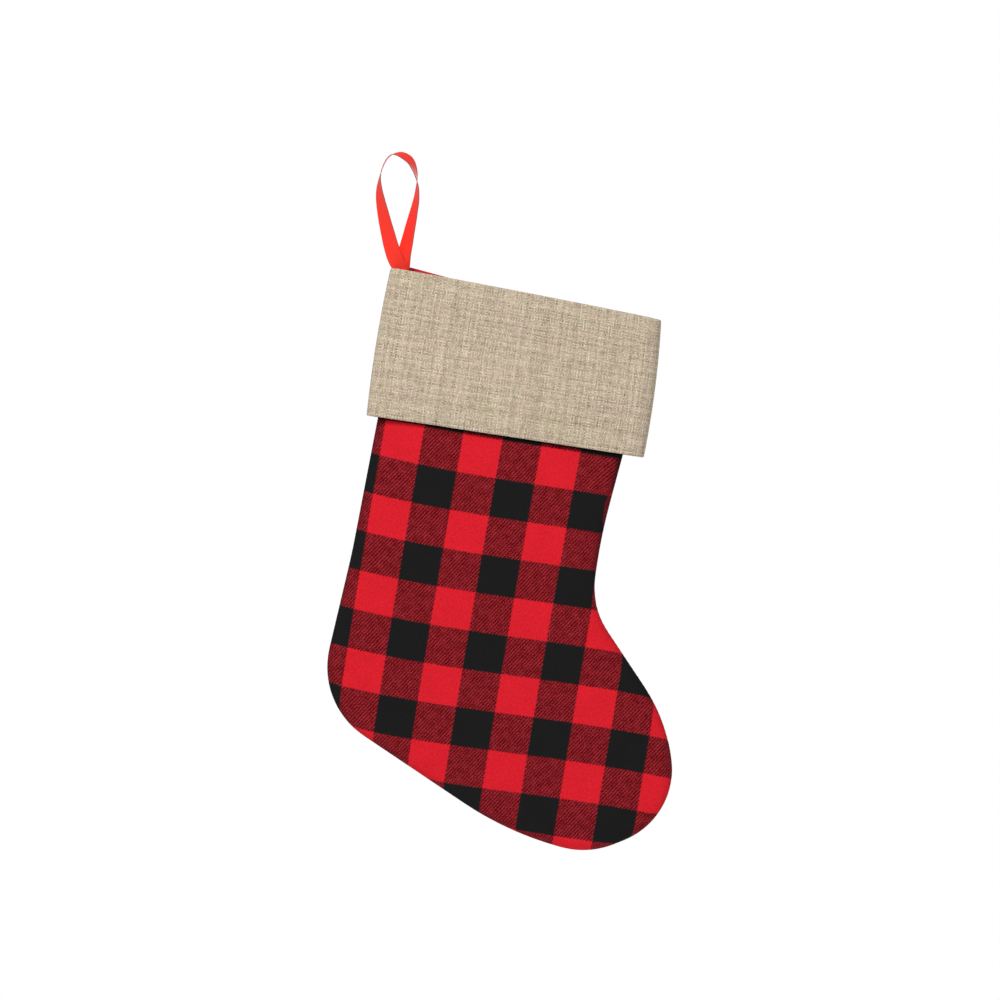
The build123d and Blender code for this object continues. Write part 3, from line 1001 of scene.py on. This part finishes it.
# Running stitches round the mouth, between the lining and the flannel.
rim_stitches = []
rim_stitch_pitch, rim_stitch_half = 3.4 * MM, 1.2 * MM
for side in (FRONT, BACK):
    for x in np.arange(14 * MM, 206 * MM, rim_stitch_pitch):
        depth = side * 8.15 * MM
        y = rim_height(x) - 4.4 * MM
        rim_stitches.append(to_row([
            (x, y, depth), (x + rim_stitch_half, y, depth * 1.012), (x + 2 * rim_stitch_half, y, depth),
        ]))
stitch_mesh("rim_stitches", rim_stitches, 0.14 * MM, red_thread, "rim_seam_thread")

# A bar of close stitches across the ribbon's two ends.
bar_stitches = []
bar_start, bar_height, bar_stitch_half = 5.6 * MM, -8.0 * MM, 1.1 * MM
for side in (FRONT, BACK):
    for k in range(15):
        x = bar_start + k * 0.62 * MM
        lean = 0.3 * MM * (-1) ** k
        depth = side * 0.66 * MM
        bar_stitches.append(to_row([
            (x - lean, bar_height - bar_stitch_half, depth * 0.8), (x, bar_height, depth),
            (x + lean, bar_height + bar_stitch_half, depth * 0.8),
        ]))
stitch_mesh("ribbon_bar_stitches", bar_stitches, 0.17 * MM, red_thread, "loop_bartack")

# ---- camera, floor and light --------------------------------------------------------------
low, high = (Vector(p) for p in cad_bounds)
centre = (low + high) / 2
frame_width = 0.8                      # metres that the picture takes in at the object
aim_right, aim_up = 0.3 * MM, 1.4 * MM  # the picture's middle, from the object's
camera_data = bpy.data.cameras.new("camera")
camera_data.lens = 150
camera_data.sensor_width = 36
camera = bpy.data.objects.new("camera", camera_data)
bpy.context.scene.collection.objects.link(camera)
distance = frame_width * camera_data.lens / camera_data.sensor_width
camera.location = (centre.x + aim_right, centre.y - distance, centre.z + aim_up)
camera.rotation_euler = (math.pi / 2, 0, 0)
bpy.context.scene.camera = camera


def area_light(name, place, size, power):
    """A soft lamp aimed at the object; its place is counted from the object's middle."""
    data = bpy.data.lights.new(name, "AREA")
    data.size = size
    data.energy = power
    lamp = bpy.data.objects.new(name, data)
    bpy.context.scene.collection.objects.link(lamp)
    lamp.location = centre + Vector(place)
    lamp.rotation_euler = (-Vector(place)).to_track_quat("-Z", "Y").to_euler()


area_light("key", (-0.6, -1.5, 2.1), size=0.6, power=44)
area_light("fill", (0.6, -2.2, 0.5), size=1.4, power=5)
area_light("back", (0.6, 2.4, 0.5), size=1.4, power=24)

# The backdrop is plain white, and lights the object more softly than it looks.
world = bpy.data.worlds.new("studio")
world.use_nodes = True
backdrop = world.node_tree.nodes["Background"]
backdrop.inputs["Color"].default_value = (1, 1, 1, 1)
seen = world.node_tree.nodes.new("ShaderNodeLightPath")
strength = world.node_tree.nodes.new("ShaderNodeMapRange")
strength.inputs["To Min"].default_value = 0.26
strength.inputs["To Max"].default_value = 1.0
world.node_tree.links.new(seen.outputs["Is Camera Ray"], strength.inputs["Value"])
world.node_tree.links.new(strength.outputs["Result"], backdrop.inputs["Strength"])
bpy.context.scene.world = world
bpy.context.scene.view_settings.view_transform = "Standard"

# A pale round floor lies well below the stocking, and glows a little so that it looks white.
floor_drop, floor_reach, floor_corners = 0.7, 4.5, 64
floor_points = [
    (centre.x + floor_reach * math.cos(a), floor_reach * math.sin(a), low.z - floor_drop)
    for a in np.linspace(0, 2 * math.pi, floor_corners, endpoint=False)
]
paint = Nodes("floor")
cloudy = paint.noise(paint.add("ShaderNodeTexCoord").outputs["Object"], 3.0)
paint.surface(paint.mix(cloudy, (0.54, 0.54, 0.54, 1), (0.56, 0.56, 0.56, 1)), roughness=0.9)
paint.shader.inputs["Emission Color"].default_value = (1, 1, 1, 1)
paint.shader.inputs["Emission Strength"].default_value = 0.68
floor = new_object("floor", floor_points, [list(range(floor_corners))], None, paint.material)
